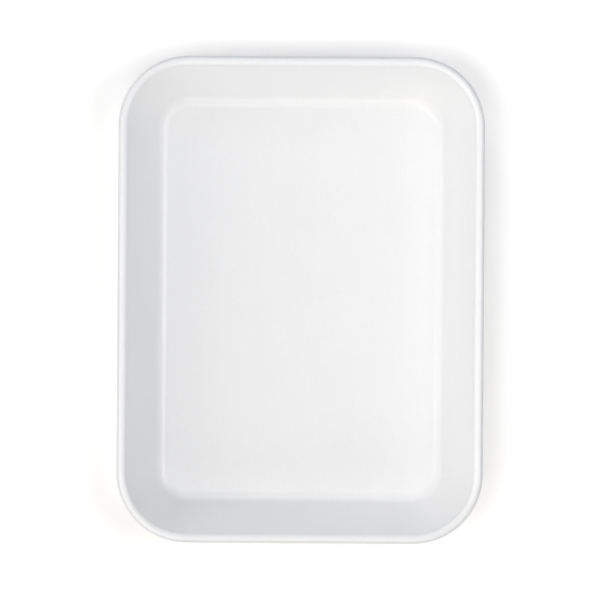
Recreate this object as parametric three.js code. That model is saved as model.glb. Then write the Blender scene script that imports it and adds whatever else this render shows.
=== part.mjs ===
// A shallow foam tray, of the kind that fresh food is sold on: one shell of white polystyrene
// foam, pressed from a warm sheet. The sheet keeps one thickness over the flat base, the round
// bend at its foot and the leaning walls, and ends in a rounded rim bead with a small lip
// outside.
//
// Millimetres, +Z up, the tray's length along Y. The origin is the middle of the underside, on
// the surface that the tray stands on.
import * as THREE from "three";

// Driving dimensions.
const LENGTH = 178; // outside, over the rim
const WIDTH = 134; // outside, over the rim
const HEIGHT = 25;
const CORNER_RADIUS = 25.6; // of the outline, over the rim
const SHEET = 3; // thickness of the foam
const WALL_LEAN = THREE.MathUtils.degToRad(29); // of the walls, from upright
const FOOT_RADIUS = 5; // inside, where a wall bends into the floor
const BEAD_WIDTH = 3.66; // of the rounded rim, seen from above
const BEAD_FLANK_LEAN = THREE.MathUtils.degToRad(10); // of the bead's inner side, from upright
const BEAD_CREASE_RADIUS = 1.5; // of the hollow between the bead and the inner wall
const LIP_HEIGHT = 3; // of the rim's outer edge, from its top to the underside of the lip
const LIP_EDGE_RADIUS = 0.5; // of the lip's lower edge
const LIP_ROOT_RADIUS = 0.6; // of the hollow between the lip and the outer wall

// How finely the round parts are stepped.
const CORNER_STEPS = 16; // in each quarter turn of the outline
const FOOT_STEPS = 9;
const BEAD_STEPS = 17;
const CREASE_STEPS = 2;
const LIP_STEPS = 4;

// The rim, and every outline below it, is a rounded rectangle about the same four corner
// centres, so the one number that changes from outline to outline is its corner radius. The
// section below is drawn in that radius, as x, and in height, as y.
const CORNER_CENTRE_X = WIDTH / 2 - CORNER_RADIUS;
const CORNER_CENTRE_Y = LENGTH / 2 - CORNER_RADIUS;

const DOWN = -Math.PI / 2;
const UP = Math.PI / 2;

// The points of a round stretch of the section, from one direction to another as seen from
// its centre.
function arc(centre, radius, from, to, steps) {
  const clockwise = to < from;
  const curve = new THREE.EllipseCurve(
    centre.x, centre.y, radius, radius, from, to, clockwise,
  );
  return curve.getPoints(steps);
}

// The centre of a round hollow that runs on smoothly into a straight wall. The wall passes
// through onWall and is square to facing, and the centre lies on that side of it, at the
// given height.
function centreBesideWall(onWall, facing, radius, height) {
  const beside = onWall.clone().addScaledVector(facing, radius);
  const along = new THREE.Vector2(-facing.y, facing.x);
  return beside.addScaledVector(along, (height - beside.y) / along.y);
}

// The section from the edge of the floor, up the inside, over the rim and down the outside to
// the edge of the underside. Straight stretches join its arcs.
function section() {
  // Square to the walls: the inside faces the middle of the tray and up, the outside down.
  const inward = new THREE.Vector2(-Math.cos(WALL_LEAN), Math.sin(WALL_LEAN));
  const outward = inward.clone().negate();
  const flankInward = new THREE.Vector2(
    -Math.cos(BEAD_FLANK_LEAN), Math.sin(BEAD_FLANK_LEAN),
  );

  // The bead is half of a round bar, whose outer side is the outline of the tray.
  const beadRadius = BEAD_WIDTH / 2;
  const bead = new THREE.Vector2(CORNER_RADIUS - beadRadius, HEIGHT - beadRadius);

  // The crease starts where the bead's inner flank ends, and runs on into the wall.
  const creaseStart = bead.clone().addScaledVector(flankInward, beadRadius);
  const crease = creaseStart.clone().addScaledVector(flankInward, BEAD_CREASE_RADIUS);
  const wallTop = crease.clone().addScaledVector(inward, -BEAD_CREASE_RADIUS);

  // The foot is the one bend whose inner face lies on the floor and runs on into the wall.
  const foot = centreBesideWall(wallTop, inward, FOOT_RADIUS, SHEET + FOOT_RADIUS);

  // Under the lip: its rounded lower edge, and the hollow between it and the outer wall.
  const lipUnderside = HEIGHT - LIP_HEIGHT;
  const lipEdge = new THREE.Vector2(
    CORNER_RADIUS - LIP_EDGE_RADIUS, lipUnderside + LIP_EDGE_RADIUS,
  );
  const outerWall = wallTop.clone().addScaledVector(outward, SHEET);
  const lipRoot = centreBesideWall(
    outerWall, outward, LIP_ROOT_RADIUS, lipUnderside - LIP_ROOT_RADIUS,
  );

  return [
    ...arc(foot, FOOT_RADIUS, DOWN, -WALL_LEAN, FOOT_STEPS),
    ...arc(crease, BEAD_CREASE_RADIUS, -WALL_LEAN, -BEAD_FLANK_LEAN, CREASE_STEPS),
    ...arc(bead, beadRadius, Math.PI - BEAD_FLANK_LEAN, 0, BEAD_STEPS).slice(1),
    ...arc(lipEdge, LIP_EDGE_RADIUS, 0, DOWN, LIP_STEPS),
    ...arc(lipRoot, LIP_ROOT_RADIUS, UP, Math.PI - WALL_LEAN, LIP_STEPS),
    ...arc(foot, FOOT_RADIUS + SHEET, -WALL_LEAN, DOWN, FOOT_STEPS),
  ];
}

// One outline of the tray, a rounded rectangle whose corners have the given radius.
function outline(cornerRadius) {
  const points = [];
  const quarters = [[1, 1], [-1, 1], [-1, -1], [1, -1]];
  quarters.forEach(([sideX, sideY], quarter) => {
    for (let step = 0; step <= CORNER_STEPS; step++) {
      const angle = (quarter + step / CORNER_STEPS) * (Math.PI / 2);
      points.push(new THREE.Vector2(
        sideX * CORNER_CENTRE_X + cornerRadius * Math.cos(angle),
        sideY * CORNER_CENTRE_Y + cornerRadius * Math.sin(angle),
      ));
    }
  });
  return points;
}

// The shell: the section's points carried round the outline, each as a ring, with the first
// ring closed by the floor and the last by the underside.
function shell(profile) {
  const rings = profile.map((point) => outline(point.x));
  const around = rings[0].length;
  const positions = rings.flatMap((ring, level) =>
    ring.flatMap((point) => [point.x, point.y, profile[level].y]),
  );

  const triangles = [];
  for (let level = 0; level < rings.length - 1; level++) {
    for (let i = 0; i < around; i++) {
      const next = (i + 1) % around;
      const [a, b] = [level * around + i, level * around + next];
      const [c, d] = [a + around, b + around];
      triangles.push(a, c, b, b, c, d);
    }
  }
  const floor = THREE.ShapeUtils.triangulateShape(rings[0], []);
  const underside = THREE.ShapeUtils.triangulateShape(rings.at(-1), []);
  const lastRing = (rings.length - 1) * around;
  floor.forEach(([a, b, c]) => triangles.push(a, b, c));
  underside.forEach(([a, b, c]) => triangles.push(lastRing + a, lastRing + c, lastRing + b));

  const geometry = new THREE.BufferGeometry();
  geometry.setAttribute("position", new THREE.Float32BufferAttribute(positions, 3));
  geometry.setIndex(triangles);
  geometry.computeVertexNormals();
  return geometry;
}

const foam = new THREE.MeshStandardMaterial({
  name: "white_foam",
  color: new THREE.Color(0.93, 0.93, 0.925),
  roughness: 0.45,
  metalness: 0,
});

const tray = new THREE.Mesh(shell(section()), foam);
tray.name = "tray";

const model = new THREE.Group();
model.name = "foam_tray";
model.add(tray);

export default model;
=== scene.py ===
# %% [markdown]
# # A foam food tray, seen from above
# The tray is a shallow shell of white polystyrene foam, of the kind that fresh food is sold on.
# It is made from one warm sheet that is pressed between two moulds and then cut out of the
# sheet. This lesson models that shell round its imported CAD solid, gives it the satin skin of
# fine foam, and lights it softly on a white table.

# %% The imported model
import math
from itertools import pairwise

import bmesh
import bpy
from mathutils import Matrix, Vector


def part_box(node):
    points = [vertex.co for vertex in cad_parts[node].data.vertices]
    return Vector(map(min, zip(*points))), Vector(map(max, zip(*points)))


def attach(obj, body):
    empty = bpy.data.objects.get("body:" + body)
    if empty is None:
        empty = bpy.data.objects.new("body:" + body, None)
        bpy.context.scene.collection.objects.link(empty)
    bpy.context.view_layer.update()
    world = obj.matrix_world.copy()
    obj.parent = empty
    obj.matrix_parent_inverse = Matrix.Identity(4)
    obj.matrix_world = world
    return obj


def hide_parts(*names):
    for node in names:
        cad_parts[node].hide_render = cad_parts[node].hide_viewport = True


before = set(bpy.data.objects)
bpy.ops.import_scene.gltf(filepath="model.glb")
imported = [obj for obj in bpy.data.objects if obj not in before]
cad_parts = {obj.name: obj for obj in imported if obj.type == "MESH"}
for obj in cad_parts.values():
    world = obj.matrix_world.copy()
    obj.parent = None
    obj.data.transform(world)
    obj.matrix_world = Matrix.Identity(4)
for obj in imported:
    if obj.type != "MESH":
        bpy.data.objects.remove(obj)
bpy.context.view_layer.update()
lowest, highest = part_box("tray")
WIDTH, LENGTH, HEIGHT = highest - lowest
MM = 0.001
print("tray, mm:", [round(side / MM, 2) for side in (WIDTH, LENGTH, HEIGHT)])

# %% [markdown]
# ## The sizes of the foam
# All of the tray follows from its outside and a few sizes of the foam: how thick the sheet is,
# how far the walls lean, how round the bend at their foot is, and how wide the rim bead is.
# They are the same sizes as the CAD solid has, so that the finished piece fills the same space.

# %% Driving sizes
CORNER_RADIUS = 25.6 * MM  # of the outline
SHEET = 3 * MM
WALL_LEAN = math.radians(29)  # from upright
FOOT_RADIUS = 5 * MM  # inside, where a wall bends into the floor
BEAD_WIDTH = 3.66 * MM
BEAD_FLANK_LEAN = math.radians(10)  # of the bead's inner side, from upright
CREASE_RADIUS = 1.5 * MM  # between the bead and the inner wall
LIP_HEIGHT = 3 * MM
LIP_EDGE_RADIUS = 0.5 * MM
LIP_ROOT_RADIUS = 0.6 * MM  # between the lip and the outer wall
print("sheet, mm:", SHEET / MM, " lean, degrees:", round(math.degrees(WALL_LEAN)))

# %% [markdown]
# ## The camera
# The picture is taken from straight above and from far away, with a long lens, so the walls
# look equally wide on all four sides. Where the camera stands follows from how large the tray
# is in the picture, and from where it lies there. It lies less than half a degree askew, which
# the camera makes up for by a small turn.

# %% Camera
PICTURE_SIDE = 600  # pixels
TRAY_LENGTH_IN_PICTURE = 486.8  # pixels
TRAY_CENTRE_IN_PICTURE = (300.7, 299.8)  # pixels from the left and from the top
TRAY_TURN_IN_PICTURE = math.radians(0.38)  # clockwise
CAMERA_DISTANCE = 1.1  # metres above the widest outline of the rim
SENSOR_WIDTH = 36  # mm

pixel = LENGTH / TRAY_LENGTH_IN_PICTURE
view_width = PICTURE_SIDE * pixel
right = (PICTURE_SIDE / 2 - TRAY_CENTRE_IN_PICTURE[0]) * pixel
up = (TRAY_CENTRE_IN_PICTURE[1] - PICTURE_SIDE / 2) * pixel

bpy.ops.object.camera_add(
    location=(right, up, HEIGHT - BEAD_WIDTH / 2 + CAMERA_DISTANCE),
    rotation=(0, 0, TRAY_TURN_IN_PICTURE),
)
camera = bpy.context.object
camera.name = "camera"
camera.data.sensor_width = SENSOR_WIDTH
camera.data.lens = SENSOR_WIDTH * CAMERA_DISTANCE / view_width
bpy.context.scene.camera = camera
print("lens, mm:", round(camera.data.lens, 1), " one pixel, mm:", round(pixel / MM, 4))

# %% [markdown]
# ## The white table
# The tray stands on a plain white surface that runs out of the picture on all sides. A round
# table that ends just inside the ring of lamps does for it, because a camera at any side then
# sees only the well lit part.

# %% Table
TABLE_RADIUS = 1.2  # metres
TABLE_SIDES = 96

bpy.ops.object.select_all(action="DESELECT")
bpy.ops.mesh.primitive_circle_add(
    vertices=TABLE_SIDES, radius=TABLE_RADIUS, fill_type="NGON", location=(0, 0, 0)
)
table = bpy.context.object
table.name = "table"
print("table: radius, m:", TABLE_RADIUS)

# %% [markdown]
# ## Helpers for nodes
# A finish is a tree of nodes. By hand, a node is added, its values are typed in, and lines are
# drawn to it from the outputs of other nodes. These three helpers do the same, one inside the
# other: an input is given its value or its line, then all inputs of a node, then a new node.

# %% Helpers for nodes
def give(tree, socket, value):
    """Sets an input, or links it where the value is another node's output."""
    if isinstance(value, bpy.types.NodeSocket):
        tree.links.new(value, socket)
    else:
        socket.default_value = value


def feed(tree, fed, **inputs):
    """Gives a node's inputs their values. In the name of an input, _ stands for a space."""
    for name, value in inputs.items():
        give(tree, fed.inputs[name.replace("_", " ")], value)


def node(tree, kind, operation=None, **inputs):
    """Adds a node and feeds it."""
    new = tree.nodes.new(kind)
    if operation:
        new.operation = operation
    feed(tree, new, **inputs)
    return new


# %% [markdown]
# ## White that stays white
# The table is matt and a touch warm, which keeps shadows neutral under the cool fill light. It
# also glows faintly, as bright paper seems to, so it comes out pure white close to the tray.
# Further out, where the lamps reach less, it glows more, so it stays white up to its edge. That
# glow is worked out from the distance to the middle of the table.

# %% Table white
TABLE_COLOUR = (0.99, 0.98, 0.965, 1)
TABLE_ROUGHNESS = 0.9
WHITE = (1, 1, 1, 1)
GLOW, GLOW_AT_EDGE = 0.05, 0.8
EVEN_RADIUS = 0.2  # metres. Up to here the glow is even

table_white = bpy.data.materials.new("table_white")
table_white.use_nodes = True
paper = table_white.node_tree
place_on_table = node(paper, "ShaderNodeTexCoord").outputs["Object"]
from_middle = node(paper, "ShaderNodeVectorMath", "LENGTH", Vector=place_on_table)
glow = node(
    paper,
    "ShaderNodeMapRange",
    Value=from_middle.outputs["Value"],
    From_Min=EVEN_RADIUS,
    From_Max=TABLE_RADIUS,
    To_Min=GLOW,
    To_Max=GLOW_AT_EDGE,
)
feed(
    paper,
    paper.nodes["Principled BSDF"],
    Base_Color=TABLE_COLOUR,
    Roughness=TABLE_ROUGHNESS,
    Specular_IOR_Level=0.0,
    Emission_Color=WHITE,
    Emission_Strength=glow.outputs["Result"],
)
table.data.materials.append(table_white)
print("glow: from", GLOW, "to", GLOW_AT_EDGE)

# %% [markdown]
# ## Soft studio light
# White foam has no colour to show, so its form is drawn by light alone. Two boxes high in
# front and on the left are the key light, and put a soft edge of shadow on the right and at
# the back. Large boxes stand low round the left half, with one more half way up. They make the
# walls on the right and at the back the bright ones, and draw a fine bright line along the rim
# and the foot of the walls. The light that fills the shade is cool, so that shaded foam looks
# faintly blue. Some of it comes from a weaker box, low on the right.

# %% Softboxes
LARGE, MIDDLE = 0.8, 0.5  # sides of a softbox, in metres
FAR = 1.5  # from the tray, in metres
HIGH, HALF_WAY_UP, LOW = 68, 40, 22  # above the table, in degrees
WARM, COOL = (1, 0.985, 0.965), (0.82, 0.88, 1)


def softbox(name, azimuth, elevation, size, distance, strength, colour):
    """A square softbox that faces the tray. Azimuth 0 stands behind the tray, 90 to its right.

    Its strength is how bright its face is, whatever its size.
    """
    turn, tilt = math.radians(azimuth), math.radians(elevation)
    towards = Vector(
        (math.sin(turn) * math.cos(tilt), math.cos(turn) * math.cos(tilt), math.sin(tilt))
    )
    bpy.ops.object.light_add(type="AREA", location=towards * distance)
    light = bpy.context.object
    light.name = name
    light.rotation_euler = towards.to_track_quat("Z", "Y").to_euler()
    light.data.shape = "SQUARE"
    light.data.size = size
    light.data.energy = strength * size**2 * math.pi
    light.data.color = colour
    light.visible_camera = False
    print(name, "watts:", round(light.data.energy, 2))


softbox("key_front", 200, HIGH, MIDDLE, FAR, 3.75, WARM)
softbox("key_left", 250, HIGH, MIDDLE, FAR, 5.6, WARM)
softbox("half_left", 270, HALF_WAY_UP, LARGE, FAR, 1.05, WARM)
softbox("low_front", 180, LOW, LARGE, FAR, 2.65, WARM)
softbox("low_front_left", 225, LOW, LARGE, FAR, 1.3, WARM)
softbox("low_left", 270, LOW, LARGE, FAR, 1.95, WARM)
softbox("low_back_left", 315, LOW, LARGE, FAR, 1.8, WARM)
softbox("low_right", 90, LOW, LARGE, FAR, 0.9, COOL)

# %% [markdown]
# ## Two boxes close by
# The floor of the tray runs from grey on the left to white on the right. An even slope like
# that comes from a light that is close, because it falls off quickly: here a small box that
# hangs over the right side. A second one at the back lifts the wall in front a little.

# %% Close boxes
SMALL, NEAR = 0.3, 0.6  # its side, and how far it is from the tray, in metres

softbox("close_right", 90, 60, SMALL, NEAR, 4.7, WARM)
softbox("close_back", 0, 45, SMALL, NEAR, 2.0, COOL)

# %% [markdown]
# ## The room and the tones
# In a bright studio some light comes from everywhere. An even, faint world stands for it, so
# no corner goes black. Past the table a camera should see a white backdrop and not this faint
# light, so a second, white background is shown to camera rays alone, which Light Path tells
# apart. It lights nothing. The view transform is Standard, because Filmic and AgX turn whites
# grey.

# %% World and colour
ROOM_LIGHT = 0.1

world = bpy.data.worlds.new("studio")
bpy.context.scene.world = world
world.use_nodes = True
studio = world.node_tree
room = studio.nodes["Background"]
feed(studio, room, Color=(*COOL, 1), Strength=ROOM_LIGHT)

backdrop = node(studio, "ShaderNodeBackground", Color=WHITE)
is_camera_ray = node(studio, "ShaderNodeLightPath").outputs["Is Camera Ray"]
either = node(studio, "ShaderNodeMixShader", Fac=is_camera_ray)
otherwise, where_true = [socket for socket in either.inputs if socket.name == "Shader"]
give(studio, otherwise, room.outputs["Background"])
give(studio, where_true, backdrop.outputs["Background"])
feed(studio, studio.nodes["World Output"], Surface=either.outputs["Shader"])

bpy.context.scene.view_settings.view_transform = "Standard"
print("room light:", ROOM_LIGHT)

# %% [markdown]
# ## The section of the wall
# Cut through a wall, the sheet shows the same thickness everywhere. It runs flat under the
# food, turns up in a round bend, leans outwards, and ends in a rounded bead with a small lip
# outside. Each outline of the tray, from the rim to the floor, is a rounded rectangle about
# the same four corner centres. So the section can be drawn in two numbers: the corner radius
# of an outline, and its height.

# %% Section of the foam
ARC_STEP = math.radians(3)  # how finely a round stretch is divided


def arc(centre, radius, start, end):
    """Points on a round stretch of the section, from one direction to another."""
    steps = math.ceil(abs(end - start) / ARC_STEP)
    angles = [start + (end - start) * step / steps for step in range(steps + 1)]
    return [centre + radius * Vector((math.cos(a), math.sin(a))) for a in angles]


def centre_beside_wall(on_wall, facing, radius, height):
    """The centre of a round hollow, at that height, that runs on smoothly into the wall."""
    beside = on_wall + facing * radius
    along = Vector((-facing.y, facing.x))
    return beside + along * (height - beside.y) / along.y


DOWN, UP = -math.pi / 2, math.pi / 2
inward = Vector((-math.cos(WALL_LEAN), math.sin(WALL_LEAN)))
flank_inward = Vector((-math.cos(BEAD_FLANK_LEAN), math.sin(BEAD_FLANK_LEAN)))

bead_radius = BEAD_WIDTH / 2
bead = Vector((CORNER_RADIUS - bead_radius, HEIGHT - bead_radius))
crease = bead + flank_inward * (bead_radius + CREASE_RADIUS)
wall_top = crease - inward * CREASE_RADIUS
foot = centre_beside_wall(wall_top, inward, FOOT_RADIUS, SHEET + FOOT_RADIUS)

lip_underside = HEIGHT - LIP_HEIGHT
lip_edge = Vector((CORNER_RADIUS - LIP_EDGE_RADIUS, lip_underside + LIP_EDGE_RADIUS))
lip_root = centre_beside_wall(
    wall_top - inward * SHEET, -inward, LIP_ROOT_RADIUS, lip_underside - LIP_ROOT_RADIUS
)

inside = [
    *arc(bead, bead_radius, 0, math.pi - BEAD_FLANK_LEAN),
    *arc(crease, CREASE_RADIUS, -BEAD_FLANK_LEAN, -WALL_LEAN)[1:],
    *arc(foot, FOOT_RADIUS, -WALL_LEAN, DOWN),
]
outside = [
    *arc(lip_edge, LIP_EDGE_RADIUS, 0, DOWN),
    *arc(lip_root, LIP_ROOT_RADIUS, UP, math.pi - WALL_LEAN),
    *arc(foot, FOOT_RADIUS + SHEET, -WALL_LEAN, DOWN),
]
print("points in the section:", len(inside), "inside,", len(outside), "outside")

# %% [markdown]
# ## A low block with round corners
# The whole shell can grow out of the outer band of its rim. That band is a block as long and
# wide as the tray and less than a millimetre high. Its four upright edges are bevelled into
# the round corners of the outline. The straight sides are cut into short pieces, so that the
# soft shading of the corners stays at the corners.

# %% Block
CORNER_SEGMENTS = 32
SIDE_CUTS = 15
SAME_PLACE = 1e-6  # metres. Places closer together than this count as one

bpy.ops.object.select_all(action="DESELECT")
bpy.ops.mesh.primitive_cube_add(
    size=1,
    location=(0, 0, (lip_edge.y + bead.y) / 2),
    scale=(WIDTH, LENGTH, bead.y - lip_edge.y),
)
tray = bpy.context.object
tray.name = "foam_tray_shell"
bpy.ops.object.transform_apply(location=True, rotation=True, scale=True)


def select(kind, test):
    """Selects the edges or faces that pass a test, in edit mode, and says how many."""
    bpy.ops.mesh.select_mode(type=kind)
    bpy.ops.mesh.select_all(action="DESELECT")
    mesh = bmesh.from_edit_mesh(tray.data)
    parts = mesh.edges if kind == "EDGE" else mesh.faces
    chosen = [part for part in parts if test(part)]
    for part in chosen:
        part.select_set(True)
    bmesh.update_edit_mesh(tray.data)
    return len(chosen)


def is_upright(edge):
    across = edge.verts[0].co - edge.verts[1].co
    return across.xy.length < SAME_PLACE


def is_long(edge):
    return edge.calc_length() > CORNER_RADIUS


bpy.ops.object.mode_set(mode="EDIT")
print("upright edges:", select("EDGE", is_upright))
bpy.ops.mesh.bevel(offset=CORNER_RADIUS, segments=CORNER_SEGMENTS, affect="EDGES")
print("straight edges:", select("EDGE", is_long))
bpy.ops.mesh.subdivide(number_cuts=SIDE_CUTS)

# %% [markdown]
# ## Growing the walls
# A hand modeller would now take the top face and press I again and again: each inset draws
# the face inwards, and its depth lifts or lowers it. That is the whole of the inside: over
# the bead, down the wall, round the bend and onto the floor. The bottom face goes the same
# way to make the lip, the outer wall and the underside. A narrow flat ring round the floor
# and the underside keeps the shading of these big flats true.

# %% Inside and outside
FLAT_RING = 0.3 * MM
LEVEL = 0.99  # a level face has a normal that goes at least this far up or down


def grow(facing, section):
    """Insets the face that looks up (1) or down (-1) along the section."""
    select("FACE", lambda face: face.normal.z * facing > LEVEL)
    for here, there in pairwise(section):
        bpy.ops.mesh.inset(thickness=here.x - there.x, depth=(there.y - here.y) * facing)
    bpy.ops.mesh.inset(thickness=FLAT_RING, depth=0)


grow(1, inside)
grow(-1, outside)
bpy.ops.mesh.select_all(action="SELECT")
bpy.ops.mesh.normals_make_consistent(inside=False)
bpy.ops.object.mode_set(mode="OBJECT")
bpy.ops.object.shade_smooth()
print("faces:", len(tray.data.polygons))
print("size, mm:", [round(side / MM, 2) for side in tray.dimensions])

# %% [markdown]
# ## What foam looks like from close by
# Foam is full of small closed cells. Under the skin they show as a fine mosaic, each cell a
# little lighter or darker, and a little domed. The sheet also has soft clouds in it, where its
# skin is glossier or duller, faint streaks along the way it came out of the machine, and here
# and there a pin-hole where a cell burst. A picture of foam would need a wrap that fits the
# corners. Patterns worked out from the tray's own coordinates need none, and stay sharp from
# close by. Much of that is sums, so three short helpers for those come first.

# %% Helpers for sums
def maths(tree, operation, *values):
    """Adds a Math node with these numbers or outputs, and returns its output."""
    new = node(tree, "ShaderNodeMath", operation)
    for socket, value in zip(new.inputs, values):
        give(tree, socket, value)
    return new.outputs["Value"]


def summed(tree, *values):
    """Adds up numbers and outputs, and returns the output of the last Math node."""
    total = values[0]
    for value in values[1:]:
        total = maths(tree, "ADD", total, value)
    return total


def swing(tree, pattern, amount):
    """Turns a pattern from 0 to 1 into one that swings about 0, by half the amount each way."""
    middle = 0.5
    return maths(tree, "MULTIPLY", maths(tree, "SUBTRACT", pattern, middle), amount)


# %% [markdown]
# ## A node group for foam
# The skin and the cut edge of the tray have the same cells, in other amounts. So the pattern is
# made once, as a node group, and each finish gives it its own values. The group takes a colour
# and a roughness and gives them back varied, with a height for the bumps.

# %% Foam group
foam = bpy.data.node_groups.new("foam", "ShaderNodeTree")

foam.interface.new_socket(name="Vector", in_out="INPUT", socket_type="NodeSocketVector")
for side in ("INPUT", "OUTPUT"):
    foam.interface.new_socket(name="Colour", in_out=side, socket_type="NodeSocketColor")
    foam.interface.new_socket(name="Roughness", in_out=side, socket_type="NodeSocketFloat")
for amount in ("Cell Size", "Cell Tint", "Clouds", "Streaks", "Pin Holes"):
    foam.interface.new_socket(name=amount, in_out="INPUT", socket_type="NodeSocketFloat")
foam.interface.new_socket(name="Height", in_out="OUTPUT", socket_type="NodeSocketFloat")

given = foam.nodes.new("NodeGroupInput").outputs
print("foam group takes:", [socket.name for socket in given if socket.name])

# %% [markdown]
# ## Cells
# Cells press flat against each other as they grow, each round its own centre. That is just what
# a Voronoi pattern draws. Its colour is one random shade for each cell, and its distance to the
# centre, squared, makes each cell a low dome.

# %% Cells
cells = node(
    foam,
    "ShaderNodeTexVoronoi",
    Vector=given["Vector"],
    Scale=maths(foam, "DIVIDE", 1, given["Cell Size"]),
)
cell_shade = node(foam, "ShaderNodeSeparateColor", Color=cells.outputs["Color"]).outputs["Red"]
cell_dome = maths(foam, "SUBTRACT", 1, maths(foam, "POWER", cells.outputs["Distance"], 2))
print("nodes so far:", len(foam.nodes))

# %% [markdown]
# ## Clouds and streaks
# Both are soft noise. For the streaks the noise is stretched along the tray, which is the way
# that the sheet was drawn out of the machine.

# %% Clouds and streaks
CLOUD_SIZE = 14 * MM
CLOUD_DETAIL = 3  # how many finer layers lie over the first
CLOUD_CONTRAST = 0.55  # how strong each layer is, against the one before it
STREAK_SIZE = Vector((3.4, 90, 3.4)) * MM
STREAK_DETAIL = 2

clouds = node(
    foam,
    "ShaderNodeTexNoise",
    Vector=given["Vector"],
    Scale=1 / CLOUD_SIZE,
    Detail=CLOUD_DETAIL,
    Roughness=CLOUD_CONTRAST,
).outputs["Fac"]

along_sheet = node(
    foam, "ShaderNodeMapping", Vector=given["Vector"], Scale=[1 / size for size in STREAK_SIZE]
).outputs["Vector"]
streaks = node(
    foam, "ShaderNodeTexNoise", Vector=along_sheet, Scale=1, Detail=STREAK_DETAIL
).outputs["Fac"]
print("clouds, mm:", CLOUD_SIZE / MM, " streaks, mm:", [round(s / MM, 1) for s in STREAK_SIZE])

# %% [markdown]
# ## Pin-holes
# A pin-hole is a small round pit. A second, much coarser Voronoi pattern scatters centres, and
# all that lies close enough to a centre is a pit.

# %% Pin-holes
PIN_HOLE_SPACING = 6 * MM
PIN_HOLE_RADIUS = 0.22 * MM

spots = node(
    foam, "ShaderNodeTexVoronoi", Vector=given["Vector"], Scale=1 / PIN_HOLE_SPACING
).outputs["Distance"]
in_pit = maths(foam, "LESS_THAN", spots, PIN_HOLE_RADIUS / PIN_HOLE_SPACING)
pin_hole = maths(foam, "MULTIPLY", in_pit, given["Pin Holes"])
print("pin-holes, mm:", PIN_HOLE_RADIUS / MM, "in radius,", PIN_HOLE_SPACING / MM, "apart")

# %% [markdown]
# ## Colour, gloss and bumps
# The patterns only push the colour a few hundredths up or down, because clean foam is very even.
# The gloss changes a little more, as light that glances along the skin shows. A pin-hole is
# dull, as deep as a cell is domed, and darker with painted shade in its pit.

# %% What the group gives back
CLOUD_GLOSS, CELL_GLOSS = 0.06, 0.03  # how far they change the roughness
# how much painted shade darkens a pin-hole's pit, and how much duller it is
PIN_HOLE_PAINTED_SHADE, PIN_HOLE_DULLNESS = 0.06, 0.3

tone = summed(
    foam,
    1,
    swing(foam, cell_shade, given["Cell Tint"]),
    swing(foam, clouds, given["Clouds"]),
    swing(foam, streaks, given["Streaks"]),
    maths(foam, "MULTIPLY", pin_hole, -PIN_HOLE_PAINTED_SHADE),
)
varied_colour = node(foam, "ShaderNodeVectorMath", "SCALE", Vector=given["Colour"], Scale=tone)
varied_roughness = summed(
    foam,
    given["Roughness"],
    swing(foam, clouds, CLOUD_GLOSS),
    swing(foam, cell_shade, CELL_GLOSS),
    maths(foam, "MULTIPLY", pin_hole, PIN_HOLE_DULLNESS),
)
node(
    foam,
    "NodeGroupOutput",
    Colour=varied_colour.outputs["Vector"],
    Roughness=varied_roughness,
    Height=maths(foam, "SUBTRACT", cell_dome, pin_hole),
)
print("nodes in the foam group:", len(foam.nodes))

# %% [markdown]
# ## A foam finish
# A finish is the group with its values, a bump that turns its height into slopes, and the
# Principled BSDF. The shine on the skin is that of clear polystyrene, so the shader is given
# its refractive index.

# %% A foam finish
POLYSTYRENE_IOR = 1.59


def foam_finish(name, dome_height, **inputs):
    """A material for foam, from the inputs of the group and how far a cell stands out."""
    material = bpy.data.materials.new(name)
    material.use_nodes = True
    tree = material.node_tree
    pattern = tree.nodes.new("ShaderNodeGroup")
    pattern.node_tree = foam
    place = node(tree, "ShaderNodeTexCoord").outputs["Object"]
    feed(tree, pattern, Vector=place, **inputs)

    height = pattern.outputs["Height"]
    bump = node(tree, "ShaderNodeBump", Height=height, Strength=1, Distance=dome_height)
    feed(
        tree,
        tree.nodes["Principled BSDF"],
        Base_Color=pattern.outputs["Colour"],
        Roughness=pattern.outputs["Roughness"],
        IOR=POLYSTYRENE_IOR,
        Normal=bump.outputs["Normal"],
    )
    return material


# %% [markdown]
# ## Skin
# Nearly all of the tray is skin, which the warm moulds pressed smooth: a clean white with a
# satin sheen. Its cells lie just under it, so they hardly stand out.

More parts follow.
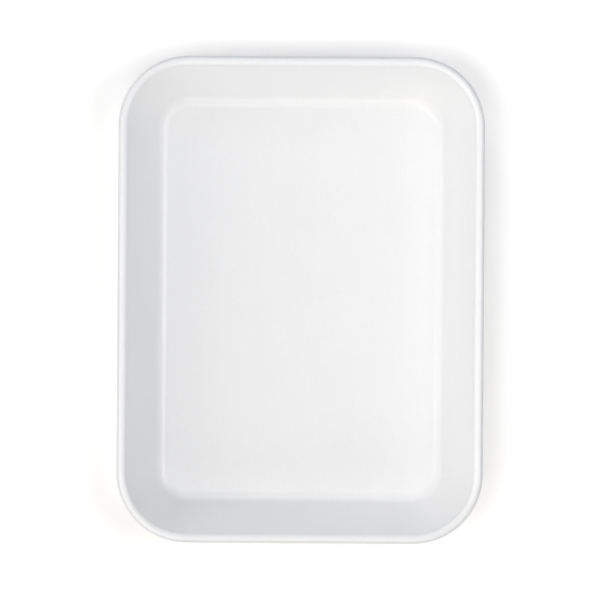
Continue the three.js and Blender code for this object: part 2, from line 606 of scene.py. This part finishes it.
# %% Skin
CELL_SIZE = 0.45 * MM

skin = foam_finish(
    "foam_skin",
    dome_height=0.007 * MM,
    Colour=(0.8, 0.8, 0.8, 1),
    Roughness=0.33,
    Cell_Size=CELL_SIZE,
    Cell_Tint=0.025,
    Clouds=0.02,
    Streaks=0.015,
    Pin_Holes=1,
)
tray.data.materials.append(skin)
print("finish:", skin.name)

# %% [markdown]
# ## Cut edge and painted rim shade
# A die cuts the tray out of the sheet, all round the outer face of the lip. There the cells are
# open, so the foam is rough and dull. Its darker colour is painted shade: it reaches up the
# outer side of the bead, past the cut, and from above it draws a thin dark line round the tray.
# It has a second material slot, given to the faces that look outwards there.

# %% Cut edge and painted rim shade
# the rough cut finish, darker with painted shade, starts where the bead has turned down this far
RIM_SHADE_START = math.radians(29)  # how far the bead has turned down where the cut starts

# its darker colour is painted shade along the outer side of the bead and the lip
cut_and_rim_shade = foam_finish(
    "foam_cut_edge_and_painted_shade",
    dome_height=0.07 * MM,
    Colour=(0.69, 0.69, 0.69, 1),
    Roughness=0.75,
    Cell_Size=CELL_SIZE,
    Cell_Tint=0.07,
    Clouds=0.02,
    Streaks=0,
    Pin_Holes=0,
)
tray.data.materials.append(cut_and_rim_shade)


def is_cut_or_rim_shade(face):
    centre = face.calc_center_median()
    outwards = centre.xy.dot(face.normal.xy) > 0
    turned_down = abs(face.normal.z) < math.cos(RIM_SHADE_START)
    return outwards and turned_down and centre.z > lip_underside


bpy.ops.object.select_all(action="DESELECT")
tray.select_set(True)
bpy.context.view_layer.objects.active = tray
bpy.ops.object.mode_set(mode="EDIT")
print("faces of the cut edge:", select("FACE", is_cut_or_rim_shade))
tray.active_material_index = tray.material_slots.find(cut_and_rim_shade.name)
bpy.ops.object.material_slot_assign()
bpy.ops.object.mode_set(mode="OBJECT")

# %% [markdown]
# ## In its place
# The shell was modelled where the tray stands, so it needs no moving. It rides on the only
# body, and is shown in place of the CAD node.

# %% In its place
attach(tray, "root")
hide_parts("tray")
